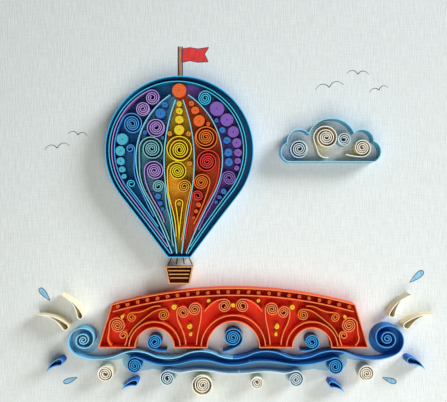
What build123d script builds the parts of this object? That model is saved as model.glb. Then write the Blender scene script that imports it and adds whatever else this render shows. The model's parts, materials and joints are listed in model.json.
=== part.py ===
"""Quilled paper picture: paper strips stand on edge, glued to a square of linen-finish board.

They draw a hot-air balloon of five panels, an arched bridge under it, curling water and a cloud.
Lengths are in millimetres. The board lies flat with its face up: X runs to the picture's right,
Y to its top and Z out of its face, from the middle of the board's underside.
"""

import os
from collections import namedtuple
from math import asin, atan2, copysign, cos, degrees, radians, sin, tan

from build123d import *

# Board: one 12 inch square of heavy linen-finish board
board_side = 305.0
board_thickness = 1.5

# Paper: strips stand on edge, and thin coloured papers lie under them
strip_height = 10.0
strip_thickness = 0.5
paper_thickness = 0.2
line_end_gap = 1.0

# Curls: a strip rolled up loosely, with an open eye and more room between its outer turns
eye_radius = 0.75
closest_turns = 1.15
curl_opening = 0.17
wave_opening = 0.3
teardrop_bow = 200.0
spray_bend = 22.0

# Tight coils: a strip rolled up hard, with a small eye and shallow lines between its turns
coil_eye_radius = 0.5
turn_spacing = 1.1
turn_line_width = 0.16
turn_line_depth = 0.35

# Balloon: places in it are shares of the envelope's radius, from the envelope's centre
envelope_radius = 45.0
envelope_x = -27.0
envelope_y = 31.0
shoulder_angle = 38.0
throat_drop = 1.45
mouth_half_width = 0.15
inner_line_share = 0.93
inner_line_shift = -0.02
inner_mouth_share = 0.8
inner_line_lift = 0.05
seam_shares = (-0.58, -0.2, 0.2, 0.58)
seam_mouth_share = 0.095
seam_spread = 65.0
coil_gap = 0.013
crown_coil_radius = 4.4
crown_coil_drop = 4.4
crown_clearance = 1.6

# Basket: it hangs under the balloon
rope_length = 6.0
basket_width = 16.0
basket_depth = 10.0
basket_taper = 2.0
basket_row_pitch = 2.2

# Bridge: its deck passes under the basket
bridge_x = 6.0
bridge_clearance = 3.0
middle_arch_radius = 16.0
side_arch_radius = 12.0
pier_width = 20.0
end_pier_width = 22.0
end_slant = 8.0
deck_height_middle = 36.0
deck_height_end = 26.0
deck_band = 4.2
scroll_clearance = 0.4
arch_ring_width = 3.6
bridge_coil_radius = 1.3
parapet_coil_radius = 1.2
parapet_coil_pitch = 6.0

# Water: places in it are shares of half the bridge's foot and of the water's depth,
# from the middle of the bridge's foot
water_depth = 20.0
water_level = -0.225
wave_slope = 25.0
wave_joint_gap = 0.25
scallop_depth = 1.2
lobe_margin = 0.55

# Cloud: places in it are shares of half its foot, from the middle of its foot
cloud_x = 66.0
cloud_y = 24.0
cloud_half_foot = 26.0

strip_foot = board_thickness + paper_thickness
half_strip = strip_thickness / 2

Curl = namedtuple("Curl", "centre radius exit_angle hand tail opening", defaults=[curl_opening])
pieces = []


def keep(part, label):
    """Names a finished piece and puts it with the others."""
    part.label = label
    pieces.append(part)


def curl_turns(centre, radius, exit_angle, hand, opening=curl_opening):
    """Draws a curl from its eye to its rim in half turns; returns the rim's end and heading."""
    reach = Vector(cos(radians(exit_angle)), sin(radians(exit_angle)))
    rim = Vector(*centre) + reach * radius
    half_turns = []
    joint, side, size = rim, 1, radius
    while size > eye_radius:
        angle = exit_angle if side > 0 else exit_angle + 180
        half_turns.append((joint - reach * side * size, size, angle))
        joint -= reach * side * 2 * size
        side = -side
        size -= max(closest_turns, size * 2 * opening) / 2
    for middle, size, angle in reversed(half_turns):
        CenterArc((middle.X, middle.Y), size, angle - 180 * hand, 180 * hand)
    return rim, Vector(-reach.Y, reach.X) * hand


def draw_curl(curl):
    """Draws a curl and its tail, which bends evenly from each of its points to the next."""
    end, heading = curl_turns(curl.centre, curl.radius, curl.exit_angle, curl.hand, curl.opening)
    for point in curl.tail:
        arc = TangentArc(end, point, tangent=heading)
        end, heading = arc @ 1, arc % 1


def draw_teardrop(centre, radius, tip, bend=0.0):
    """Draws a closed loop: round at its centre, bent this far, and pinched together at its tip."""
    away = degrees(atan2(centre[1] - tip[1], centre[0] - tip[0])) + bend
    bow = CenterArc(centre, radius, away - teardrop_bow / 2, teardrop_bow)
    TangentArc(bow @ 1, tip, tangent=bow % 1)
    TangentArc(bow @ 0, tip, tangent=-(bow % 0))


def standing_strips(label, drawings, foot=strip_foot):
    """A node of strips on edge: each drawing lays down the middle line of one strip."""
    with BuildPart() as strips:
        for draw in drawings:
            with BuildSketch(Plane.XY.offset(foot)):
                with BuildLine():
                    draw()
                trace(line_width=strip_thickness)
            extrude(amount=strip_height)
    keep(strips.part, label)


def placed(place, size, shapes):
    """Curls in millimetres, from shapes in the shares that place and size stand for."""
    return [
        shape._replace(
            centre=place(*shape.centre),
            radius=shape.radius * size,
            tail=[place(*point) for point in shape.tail],
        )
        for shape in shapes
    ]


def curls(label, shapes, foot=strip_foot):
    """A node of curls with tails, in millimetres."""
    standing_strips(label, [lambda shape=shape: draw_curl(shape) for shape in shapes], foot)


def teardrops(label, drops, foot=strip_foot):
    """A node of teardrops, each with its centre, radius and tip in millimetres, and its bend."""
    standing_strips(label, [lambda drop=drop: draw_teardrop(*drop) for drop in drops], foot)


def loose_coils(label, place, size, coils, foot=strip_foot):
    """A node of loose coils: each is a closed ring with the rest of its strip curled inside it."""
    with BuildPart() as rolled:
        for x, y, share, exit_angle, hand in coils:
            centre, radius = Vector(*place(x, y)), share * size
            inner = radius - max(closest_turns, radius * 2 * curl_opening) / 2
            reach = Vector(cos(radians(exit_angle)), sin(radians(exit_angle)))
            inner_centre = centre + reach * (radius - inner - half_strip / 2)
            with BuildSketch(Plane.XY.offset(foot)):
                with Locations((centre.X, centre.Y)):
                    Circle(radius + half_strip)
                    Circle(radius - half_strip, mode=Mode.SUBTRACT)
                with BuildLine():
                    curl_turns((inner_centre.X, inner_centre.Y), inner, exit_angle, hand)
                trace(line_width=strip_thickness)
            extrude(amount=strip_height)
    keep(rolled.part, label)


def tight_coils(label, coils):
    """A node of tight coils, each with its centre and radius in millimetres."""
    with BuildPart() as wound:
        for centre, radius in coils:
            with BuildSketch(Plane.XY.offset(strip_foot)):
                with Locations(centre):
                    Circle(radius)
                    Circle(coil_eye_radius, mode=Mode.SUBTRACT)
            extrude(amount=strip_height)
            turns = int((radius - coil_eye_radius) / turn_spacing - 0.5)
            if turns > 0:
                with BuildSketch(Plane.XY.offset(strip_foot + strip_height)):
                    with Locations(centre):
                        for turn in range(turns, 0, -1):
                            line_radius = coil_eye_radius + turn * turn_spacing
                            Circle(line_radius + turn_line_width / 2)
                            Circle(line_radius - turn_line_width / 2, mode=Mode.SUBTRACT)
                extrude(amount=-turn_line_depth, mode=Mode.SUBTRACT)
    keep(wound.part, label)


def paper(label, draw, lobes=(), beside=None):
    """A node of one coloured paper, cut to a closed outline with round lobes, beside another."""
    with BuildPart() as sheet:
        with BuildSketch(Plane.XY.offset(board_thickness)):
            with BuildLine() as border:
                draw()
            make_face(border.edges())
            for centre, radius in lobes:
                with Locations(centre):
                    Circle(radius)
        extrude(amount=paper_thickness)
        if beside:
            add(beside, mode=Mode.SUBTRACT)
    keep(sheet.part, label)
    return sheet.part


# Board
with BuildPart() as board:
    Box(board_side, board_side, board_thickness, align=(Align.CENTER, Align.CENTER, Align.MIN))
keep(board.part, "linen_board")


# Balloon's envelope: outline, inner line, and the four seams between its five panels
def on_envelope(x, y):
    """A place in the balloon, given as shares of the envelope's radius."""
    return (envelope_x + x * envelope_radius, envelope_y + y * envelope_radius)


def draw_envelope_line(radius_share, shift, mouth, lift):
    """Draws a line round the envelope from its mouth, up over its crown and down again."""
    dome = CenterArc(
        on_envelope(shift, 0),
        envelope_radius * radius_share,
        -shoulder_angle,
        180 + 2 * shoulder_angle,
    )
    left = TangentArc(dome @ 1, on_envelope(-mouth, lift - throat_drop), tangent=dome % 1)
    right = TangentArc(dome @ 0, on_envelope(mouth, lift - throat_drop), tangent=-(dome % 0))
    return left @ 1, right @ 1


def draw_outline():
    """Draws the envelope's outline, closed across its mouth."""
    Line(*draw_envelope_line(1.0, 0.0, mouth_half_width, 0.0))


def draw_inner_line():
    """Draws the line inside the outline, open at the mouth."""
    mouth = mouth_half_width * inner_mouth_share
    return draw_envelope_line(inner_line_share, inner_line_shift, mouth, inner_line_lift)


def draw_seam(share):
    """Draws one seam, from beside the crown coil past its widest place to the mouth."""
    turn = radians(270 + seam_spread * share / seam_shares[-1])
    start = (crown_coil_radius + crown_clearance) / envelope_radius
    top = on_envelope(start * cos(turn), crown_height + start * sin(turn))
    shoulder = radians(shoulder_angle)
    hip = on_envelope(share * cos(shoulder), -sin(shoulder))
    side = ThreePointArc(top, on_envelope(share, 0), hip)
    mouth = share * seam_mouth_share / seam_shares[-1]
    TangentArc(side @ 1, on_envelope(mouth, inner_line_lift - throat_drop), tangent=side % 1)
    return top


crown_height = 1 - (crown_coil_radius + crown_coil_drop) / envelope_radius
standing_strips("envelope_outline", [draw_outline])
standing_strips("envelope_inner_line", [draw_inner_line])
standing_strips("envelope_seams", [lambda share=share: draw_seam(share) for share in seam_shares])
tight_coils("crown_coil", [(on_envelope(0, crown_height), crown_coil_radius)])


# Papers under the balloon: a band inside its outline, then one sheet for each panel
def fill_inside_line():
    """Fills all that lies inside the envelope's inner line."""
    with BuildLine() as border:
        Line(*draw_inner_line())
    make_face(border.edges())


def fill_left_of_seam(share):
    """Fills all that lies to the left of a seam, past the envelope's edge."""
    low_y, high_y = envelope_y - 2 * envelope_radius, envelope_y + 2 * envelope_radius
    left_x = envelope_x - 2 * envelope_radius
    with BuildLine() as border:
        top = draw_seam(share)
        foot = border.vertices().sort_by(Axis.Y)[0]
        crown = on_envelope(0, crown_height)
        Polyline(
            top, crown, (crown[0], high_y), (left_x, high_y), (left_x, low_y), (foot.X, low_y), foot
        )
    make_face(border.edges())


with BuildPart() as band_paper:
    with BuildSketch(Plane.XY.offset(board_thickness)):
        with BuildLine():
            draw_outline()
        make_face()
        with BuildSketch(mode=Mode.SUBTRACT):
            fill_inside_line()
    extrude(amount=paper_thickness)
keep(band_paper.part, "band_paper")

for number, name in enumerate(("left", "second", "middle", "fourth", "right")):
    with BuildPart() as panel_paper:
        with BuildSketch(Plane.XY.offset(board_thickness)):
            fill_inside_line()
            if number < len(seam_shares):
                with BuildSketch(mode=Mode.INTERSECT):
                    fill_left_of_seam(seam_shares[number])
            if number > 0:
                with BuildSketch(mode=Mode.SUBTRACT):
                    fill_left_of_seam(seam_shares[number - 1])
        extrude(amount=paper_thickness)
    keep(panel_paper.part, f"{name}_panel_paper")


# What fills the panels: curls whose tails run together at the mouth, and rows of tight coils
def near_rim(share, angle):
    """A place in the balloon on a circle inside the inner line, at this angle."""
    return (inner_line_shift + share * cos(radians(angle)), share * sin(radians(angle)))


def rim_curl(share, angle, radius, end):
    """A curl by the balloon's rim, whose tail keeps along the rim and then down to its end."""
    side = 1 if angle > 90 else -1
    shoulder = 180 + shoulder_angle if angle > 90 else -shoulder_angle
    tail = [near_rim(share, shoulder), end]
    return Curl(near_rim(share - radius, angle), radius, angle, side, tail)


def rim_row(share, angle, side, radii):
    """A row of tight coils by the rim, each beside the last one, down the side from this angle."""
    row = []
    for number, radius in enumerate(radii):
        if number:
            pitch = radii[number - 1] + radius + coil_gap
            angle += side * degrees(pitch / (share - (radii[number - 1] + radius) / 2))
        row.append((*near_rim(share - radius, angle), radius))
    return row


def panel_curls(label, shapes):
    """A node of curls in the balloon."""
    curls(label, placed(on_envelope, envelope_radius, shapes))


def panel_loose_coils(label, coils):
    """A node of loose coils in the balloon."""
    loose_coils(label, on_envelope, envelope_radius, coils)


def panel_tight_coils(label, coils):
    """A node of tight coils in the balloon."""
    tight_coils(label, [(on_envelope(x, y), share * envelope_radius) for x, y, share in coils])


panel_curls("left_panel_purple_scroll", [rim_curl(0.893, 116, 0.095, (-0.15, -1.31))])
panel_curls(
    "left_panel_blue_scrolls",
    [
        rim_curl(0.857, 150, 0.135, (-0.2, -1.19)),
        Curl(
            (-0.655, 0.02), 0.05, 0, -1,
            [(-0.61, -0.2), (-0.56, -0.45), (-0.455, -0.68), (-0.34, -0.9)],
        ),
    ],
)
panel_curls("left_panel_cyan_scroll", [rim_curl(0.832, 216, 0.05, (-0.285, -1.035))])
panel_tight_coils(
    "left_panel_cyan_coils", rim_row(0.845, 169, 1, (0.08, 0.068, 0.056, 0.045, 0.036))
)
panel_loose_coils("left_panel_lilac_coil", [(-0.49, 0.555, 0.085, 60, 1)])

panel_curls(
    "second_panel_teal_scrolls",
    [
        Curl((-0.385, 0.02), 0.155, 180, 1, [(-0.537, -0.25), (-0.425, -0.62), (-0.133, -1.22)]),
        Curl(
            (-0.275, -0.49), 0.075, 10, -1,
            [(-0.182, -0.65), (-0.145, -0.85), (-0.105, -1.1), (-0.075, -1.3)],
        ),
    ],
)
panel_curls(
    "second_panel_lilac_scroll",
    [Curl((-0.346, -0.28), 0.125, 180, 1, [(-0.43, -0.5), (-0.305, -0.75), (-0.2, -0.98)])],
)
panel_loose_coils("second_panel_lilac_coil", [(-0.315, 0.3, 0.115, 60, 1)])
panel_tight_coils(
    "second_panel_blue_coils",
    [
        (-0.19, 0.615, 0.04),
        (-0.255, 0.495, 0.07),
        (-0.463, 0.235, 0.03),
        (-0.222, 0.165, 0.025),
        (-0.29, -0.625, 0.04),
        (-0.255, -0.72, 0.032),
        (-0.225, -0.8, 0.025),
    ],
)

panel_loose_coils("middle_panel_yellow_loose_coil", [(0.0, 0.02, 0.165, 300, 1)])
panel_tight_coils(
    "middle_panel_yellow_coils",
    [(0.0, 0.626, 0.038), (0.0, 0.528, 0.048), (0.0, 0.41, 0.058), (0.0, 0.27, 0.07)],
)
panel_tight_coils(
    "middle_panel_amber_coils",
    [(-0.125, 0.22, 0.034), (0.125, 0.22, 0.034), (0.145, -0.18, 0.035), (0.0, -0.72, 0.03)],
)
panel_curls(
    "middle_panel_yellow_scroll",
    [Curl((-0.035, -0.285), 0.125, 180, 1, [(-0.155, -0.5), (-0.11, -0.74), (-0.04, -1.17)])],
)
panel_curls(
    "middle_panel_amber_scroll",
    [Curl((0.075, -0.495), 0.085, -12, -1, [(0.12, -0.68), (0.08, -0.92), (0.03, -1.22)])],
)
teardrops(
    "middle_panel_yellow_teardrop",
    [(on_envelope(0.0, -0.72), 0.05 * envelope_radius, on_envelope(0.0, -1.15))],
)

panel_loose_coils("fourth_panel_orange_loose_coil", [(0.365, 0.165, 0.148, 120, -1)])
panel_tight_coils(
    "fourth_panel_orange_coils",
    [
        (0.165, 0.63, 0.038),
        (0.215, 0.535, 0.055),
        (0.27, 0.395, 0.08),
        (0.39, 0.355, 0.03),
        (0.262, -0.74, 0.034),
        (0.228, -0.83, 0.028),
        (0.196, -0.91, 0.022),
    ],
)
panel_curls(
    "fourth_panel_red_scrolls",
    [
        Curl((0.395, -0.155), 0.15, 0, -1, [(0.437, -0.6), (0.2, -1.09)]),
        Curl((0.245, -0.62), 0.065, 170, 1, [(0.15, -0.8), (0.115, -1.0), (0.085, -1.2)]),
    ],
)
panel_curls("fourth_panel_orange_scroll", [Curl((0.31, -0.435), 0.105, -15, -1, [(0.2, -1.0)])])

panel_curls("right_panel_cyan_scroll", [rim_curl(0.893, 62, 0.09, (0.148, -1.31))])
panel_tight_coils(
    "right_panel_purple_coils",
    rim_row(0.87, 46.5, -1, (0.1, 0.09, 0.078, 0.066, 0.055, 0.045, 0.036)),
)
panel_tight_coils(
    "right_panel_blue_coils",
    [
        (0.508, 0.4, 0.03),
        (0.583, 0.27, 0.043),
        (0.645, 0.13, 0.05),
        (0.665, -0.03, 0.056),
        (0.675, -0.165, 0.056),
        (0.6, -0.56, 0.04),
        (0.545, -0.64, 0.03),
        (0.5, -0.705, 0.024),
    ],
)
panel_curls(
    "right_panel_violet_scroll",
    [Curl((0.667, -0.38), 0.09, 165, 1, [(0.395, -0.81), (0.262, -1.08)])],
)

# Basket: a paper outline with rows of weave
basket_top = envelope_y - throat_drop * envelope_radius - rope_length
basket_bottom = basket_top - basket_depth


def draw_basket():
    """Draws the basket's outline, narrower at its floor."""
    rim, floor = basket_width / 2, basket_width / 2 - basket_taper
    Polyline(
        (envelope_x - rim, basket_top),
        (envelope_x - floor, basket_bottom),
        (envelope_x + floor, basket_bottom),
        (envelope_x + rim, basket_top),
        close=True,
    )


def draw_basket_row(drop):
    """Draws one row of the weave, from side to side, this far under the rim."""
    half = basket_width / 2 - basket_taper * drop / basket_depth - line_end_gap
    Line((envelope_x - half, basket_top - drop), (envelope_x + half, basket_top - drop))


basket_rows = range(1, int(basket_depth / basket_row_pitch))
paper("basket_paper", draw_basket)
standing_strips("basket_outline", [draw_basket])
standing_strips(
    "basket_weave", [lambda row=row: draw_basket_row(row * basket_row_pitch) for row in basket_rows]
)

# Bridge: a humped deck on three round arches
side_arch_x = middle_arch_radius + pier_width + side_arch_radius
half_foot = side_arch_x + side_arch_radius + end_pier_width
half_deck = half_foot - end_slant
deck_rise = deck_height_middle - deck_height_end
deck_radius = (half_deck**2 + deck_rise**2) / (2 * deck_rise)
bridge_foot = basket_bottom - bridge_clearance - deck_height_middle
arches = (
    (-side_arch_x, side_arch_radius),
    (0.0, middle_arch_radius),
    (side_arch_x, side_arch_radius),
)


def on_bridge(x, y):
    """A place on the bridge, in millimetres from the middle of its foot."""
    return (bridge_x + x, bridge_foot + y)


def deck_height(x, band):
    """How high a line at this depth under the deck is, at this distance from the middle."""
    return deck_height_middle - deck_radius + ((deck_radius - band) ** 2 - x**2) ** 0.5


def draw_bridge():
    """Draws the bridge's outline: slanted ends, humped deck and three arches."""
    low_left, high_left = on_bridge(-half_foot, 0), on_bridge(-half_deck, deck_height_end)
    low_right, high_right = on_bridge(half_foot, 0), on_bridge(half_deck, deck_height_end)
    Line(low_left, high_left)
    ThreePointArc(high_left, on_bridge(0, deck_height_middle), high_right)
    Line(high_right, low_right)
    end = low_right
    for middle, radius in reversed(arches):
        Line(end, on_bridge(middle + radius, 0))
        CenterArc(on_bridge(middle, 0), radius, 0, 180)
        end = on_bridge(middle - radius, 0)
    Line(end, low_left)


def draw_deck_line():
    """Draws the line under the deck, from one slanted end to the other."""
    end = half_deck + end_slant * deck_band / deck_height_end - 2 * line_end_gap
    ThreePointArc(
        on_bridge(-end, deck_height(end, deck_band)),
        on_bridge(0, deck_height(0, deck_band)),
        on_bridge(end, deck_height(end, deck_band)),
    )


def draw_arch_ring(middle, radius):
    """Draws the line round one arch."""
    ring = radius + arch_ring_width
    lift = degrees(line_end_gap / ring)
    CenterArc(on_bridge(middle, 0), ring, lift, 180 - 2 * lift)


paper("bridge_paper", draw_bridge)
standing_strips("bridge_outline", [draw_bridge])
standing_strips(
    "bridge_inner_lines",
    [draw_deck_line] + [lambda arch=arch: draw_arch_ring(*arch) for arch in arches],
)

# What fills the bridge: scrolls in its piers and over its arches, and tight coils
def arch_room(middle, radius):
    """The room from an arch's ring up to the deck line."""
    return deck_height(middle, deck_band) - radius - arch_ring_width


def in_pier(middle, width):
    """Places in the two piers this far out: shares of half their width and of their height."""
    height = deck_height(middle, deck_band)
    return lambda side: lambda x, y: on_bridge(side * (middle + x * width / 2), y * height)


def over_arch(middle, radius):
    """Places over an arch: shares of its radius, and of the room over its ring."""
    ring, room = radius + arch_ring_width, arch_room(middle, radius)
    return lambda side: lambda x, y: on_bridge(side * (middle + x * radius), ring + y * room)


def in_arch(middle, radius):
    """Places inside an arch, in shares of its radius from the middle of its foot."""
    return lambda side: lambda x, y: on_bridge(side * (middle + x * radius), y * radius)


def mirrored(shapes):
    """The same curls, turned the other way."""
    return [
        shape._replace(exit_angle=180 - shape.exit_angle, hand=-shape.hand) for shape in shapes
    ]


def both_sides(zone, size, shapes):
    """Curls on both sides of the bridge, the left ones mirrored."""
    return placed(zone(1), size, shapes) + placed(zone(-1), size, mirrored(shapes))


middle_piers = in_pier(middle_arch_radius + pier_width / 2, pier_width)
end_pier_x = half_foot - end_pier_width / 2
end_piers = in_pier(end_pier_x, end_pier_width)
over_middle_arch, crown_room = over_arch(*arches[1]), arch_room(*arches[1])
over_side_arches, side_room = over_arch(*arches[2]), arch_room(*arches[2])
crown_scroll = 0.3
crown_scroll_x = crown_scroll * crown_room + bridge_coil_radius + half_strip + scroll_clearance
curls(
    "bridge_pier_scrolls",
    both_sides(
        middle_piers,
        pier_width / 2,
        [
            Curl((-0.28, 0.76), 0.38, 180, 1, [(-0.55, 0.45), (-0.35, 0.06)]),
            Curl((0.5, 0.7), 0.34, 0, -1, [(0.62, 0.42), (0.3, 0.06)]),
        ],
    ),
)
curls(
    "bridge_end_scrolls",
    both_sides(
        end_piers,
        deck_height(end_pier_x, deck_band),
        [
            Curl((0.0, 0.6), 0.2, 0, -1, [(0.48, 0.3), (0.3, 0.06)]),
            Curl((-0.38, 0.33), 0.098, 180, 1, [(-0.45, 0.06)]),
        ],
    ),
)
curls(
    "bridge_crown_scrolls",
    both_sides(
        over_middle_arch,
        crown_room,
        [
            Curl(
                (crown_scroll_x / middle_arch_radius, 0.5), crown_scroll, 90, -1,
                [(0.8, 0.6), (1.1, 0.2)],
            )
        ],
    ),
)
curls(
    "bridge_side_scrolls",
    both_sides(
        over_side_arches,
        side_room,
        [
            Curl((-0.45, 0.38), 0.26, 90, -1, [(0.2, 0.42), (0.9, -0.15), (1.32, -0.75)]),
            Curl((1.15, 0.25), 0.21, 90, 1, [(0.3, 0.68), (-0.3, 0.8)]),
        ],
    ),
)
small_coil_radius, large_coil_radius = 0.85 * bridge_coil_radius, 1.2 * bridge_coil_radius
bridge_coils = [(over_middle_arch(1)(0.0, 0.5), bridge_coil_radius)]
for side in (-1, 1):
    bridge_coils += [
        (middle_piers(side)(0.05, 0.42), large_coil_radius),
        (middle_piers(side)(0.0, 0.26), small_coil_radius),
        (end_piers(side)(-0.29, 0.835), small_coil_radius),
        (over_side_arches(side)(-1.0, 0.75), large_coil_radius),
        (over_middle_arch(side)(0.95, 0.72), small_coil_radius),
    ]
tight_coils("bridge_yellow_coils", bridge_coils)

parapet_line = deck_radius - deck_band / 2
parapet_turn = asin((half_deck - parapet_coil_pitch / 2) / deck_radius)
parapet_steps = int(2 * parapet_turn * deck_radius / parapet_coil_pitch)
parapet_coils = []
for step in range(parapet_steps + 1):
    turn = parapet_turn * (1 - 2 * step / parapet_steps)
    height = deck_height_middle - deck_radius + parapet_line * cos(turn)
    parapet_coils.append((on_bridge(parapet_line * sin(turn), height), parapet_coil_radius))
tight_coils("bridge_parapet_coils", parapet_coils)


# Water: long waves, with curls at their ends
def in_water(x, y):
    """A place in the water."""
    return on_bridge(x * half_foot, y * water_depth)


def crest_wave(start, radius, side, crossings):
    """A wave that runs from a curl above it, over these crossings, to the middle trough."""
    exit_angle = 270 - side * wave_slope
    lift = radius * cos(radians(wave_slope))
    shift = side * radius * water_depth * sin(radians(wave_slope)) / half_foot
    tail = [(crossing, water_level) for crossing in crossings]
    tail.append((-side * meeting_gap, trough_level))
    return Curl((start + shift, water_level + lift), radius, exit_angle, side, tail, wave_opening)


def waves(label, shapes):
    """A node of waves."""
    curls(label, placed(in_water, water_depth, shapes))


def spray(label, drops):
    """A node of drops over the board, bent outwards: each with its centre, radius and tip."""
    teardrops(
        label,
        [
            (in_water(*centre), radius * water_depth, in_water(*tip), copysign(spray_bend, tip[0]))
            for centre, radius, tip in drops
        ],
        board_thickness,
    )


paper_ends = (-1.166, 1.2)
water_crossings = (-0.854, -0.61, -0.366, -0.122, 0.122, 0.366, 0.61, 0.878)
middle_trough = water_crossings[4] * half_foot * tan(radians(wave_slope / 2))
trough_level = water_level - middle_trough / water_depth
meeting_gap = wave_joint_gap / 2 / half_foot
sky_wave = crest_wave(paper_ends[0], 0.425, 1, water_crossings[:4])
blue_wave = crest_wave(paper_ends[1], 0.465, -1, reversed(water_crossings[4:]))
pale_meeting, azure_meeting = 0.045, 0.122
pale_waves = (
    Curl(
        (-0.488, -0.925), 0.22, 70, -1,
        [(-0.366, -0.75), (-0.122, -0.75), (pale_meeting - meeting_gap, -0.79)],
    ),
    Curl(
        (0.463, -0.95), 0.23, 110, 1,
        [(0.341, -0.77), (0.15, -0.76), (pale_meeting + meeting_gap, -0.79)],
    ),
)
azure_waves = (
    Curl(
        (-0.732, -0.53), 0.23, 70, -1,
        [(-0.61, -0.46), (-0.366, -0.465), (-0.122, -0.465), (azure_meeting - meeting_gap, -0.45)],
    ),
    Curl(
        (0.756, -0.56), 0.24, 110, 1,
        [(0.61, -0.48), (0.366, -0.48), (azure_meeting + meeting_gap, -0.45)],
    ),
)
waves("water_sky_wave", [sky_wave])
waves("water_blue_wave", [blue_wave])
waves("water_azure_waves", azure_waves)
waves("water_pale_waves", pale_waves)

curls(
    "water_arch_curls",
    both_sides(
        in_arch(*arches[2]),
        side_arch_radius,
        [Curl((0.0, 0.25), 0.35, 270 + wave_slope, -1, [(-0.58, -0.17)])],
    )
    + placed(
        in_arch(*arches[1])(1),
        middle_arch_radius,
        [Curl((0.0, 0.35), 0.35, 300, -1, [(-0.4, -0.18)])],
    ),
    board_thickness,
)
loose_coils(
    "water_white_coils",
    in_water,
    water_depth,
    [
        (-0.951, -0.8, 0.22, 200, 1),
        (-0.232, -1.15, 0.3, 20, -1),
        (0.177, -1.075, 0.17, 160, 1),
        (0.988, -0.79, 0.225, 340, 1),
    ],
    board_thickness,
)
spray(
    "water_blue_drops",
    [
        ((-1.293, -0.45), 0.095, (-1.384, -0.7)),
        ((-0.732, -1.075), 0.085, (-0.823, -1.25)),
        ((1.317, -0.4), 0.1, (1.415, -0.625)),
        ((0.732, -1.125), 0.085, (0.817, -1.325)),
    ],
)
spray(
    "water_white_drops",
    [
        ((-1.25, 0.62), 0.1, (-1.42, 0.98)),
        ((-1.14, 0.95), 0.085, (-1.24, 1.5)),
        ((1.29, 0.66), 0.1, (1.46, 1.0)),
        ((1.18, 1.0), 0.085, (1.28, 1.52)),
    ],
)


def draw_water_line(crossings, climb):
    """Draws the crests' line, which first climbs (1) or falls (-1); returns its right end."""
    end = in_water(crossings[0], water_level)
    heading = Vector(cos(radians(wave_slope)), climb * sin(radians(wave_slope)))
    for crossing in crossings[1:]:
        arc = TangentArc(end, in_water(crossing, water_level), tangent=heading)
        end, heading = arc @ 1, arc % 1
    return end


def draw_deep_water():
    """Draws the deep water's paper: it lies from the crests down to the azure waves."""
    end = draw_water_line(water_crossings, 1)
    foot = (
        (0.7, deep_level),
        (0.35, deep_level),
        (0.0, deep_foot),
        (-0.35, deep_level),
        (-0.68, deep_level),
    )
    Spline(end, *[in_water(*point) for point in foot], in_water(water_crossings[0], water_level))


def draw_shallow_water():
    """Draws the shallow water's paper: waves along its top, and scallops along its foot."""
    end = draw_water_line((paper_ends[0], *water_crossings, paper_ends[1]), -1)
    foot = [(1.049, edge_foot), (0.866, edge_foot), (0.829, middle_foot)]
    foot += [(share / 100, middle_foot) for share in (61, 37, 12, -12, -37, -61)]
    foot += [(-0.805, middle_foot), (-0.841, edge_foot), (-1.024, edge_foot)]
    for point in (*foot, (paper_ends[0], water_level)):
        end = SagittaArc(end, in_water(*point), scallop_depth) @ 1


def lobes(*ends):
    """The round lobes of paper under these waves' curls."""
    return [(in_water(*wave.centre), wave.radius * water_depth + lobe_margin) for wave in ends]


deep_level, deep_foot = 2.15 * water_level, 2.35 * water_level
edge_foot, middle_foot = 2 * water_level, 3.45 * water_level
deep_paper = paper("water_deep_paper", draw_deep_water, lobes(blue_wave))
paper("water_shallow_paper", draw_shallow_water, lobes(sky_wave, *pale_waves), deep_paper)


# Cloud: a flat foot and five round tops, with curls inside
def on_cloud(x, y):
    """A place in the cloud, in shares of half its foot from the middle of its foot."""
    return (cloud_x + x * cloud_half_foot, cloud_y + y * cloud_half_foot)


def draw_cloud():
    """Draws the cloud's outline: its foot, then its round tops from right to left."""
    foot = Line(on_cloud(-1, 0), on_cloud(1, 0))
    end = foot @ 1
    tops = (
        ((0.98, 0.48), 0.262),
        ((0.52, 0.673), 0.27),
        ((-0.54, 0.654), 0.577),
        ((-1.04, 0.442), 0.285),
        ((-1, 0), 0.231),
    )
    for point, radius in tops:
        end = RadiusArc(end, on_cloud(*point), -radius * cloud_half_foot) @ 1


paper("cloud_paper", draw_cloud)
standing_strips("cloud_outline", [draw_cloud])
curls(
    "cloud_white_scrolls",
    placed(
        on_cloud,
        cloud_half_foot,
        [
            Curl((-0.154, 0.558), 0.27, 200, 1, [(-0.327, 0.23), (-0.077, 0.1)]),
            Curl((0.712, 0.308), 0.192, 270, -1, [(0.327, 0.173)]),
        ],
    ),
)
loose_coils(
    "cloud_blue_coils",
    on_cloud,
    cloud_half_foot,
    [(-0.769, 0.288, 0.192, 60, 1), (0.288, 0.519, 0.138, 140, -1)],
)

os.makedirs("parts", exist_ok=True)
for piece in pieces:
    export_step(piece, f"parts/{piece.label}.step")
print(len(pieces), "nodes and", sum(len(piece.solids()) for piece in pieces), "solids")
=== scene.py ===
"""Dresses a quilled picture of a balloon, a bridge, water and a cloud on linen-finish board."""

import json
import math

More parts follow.
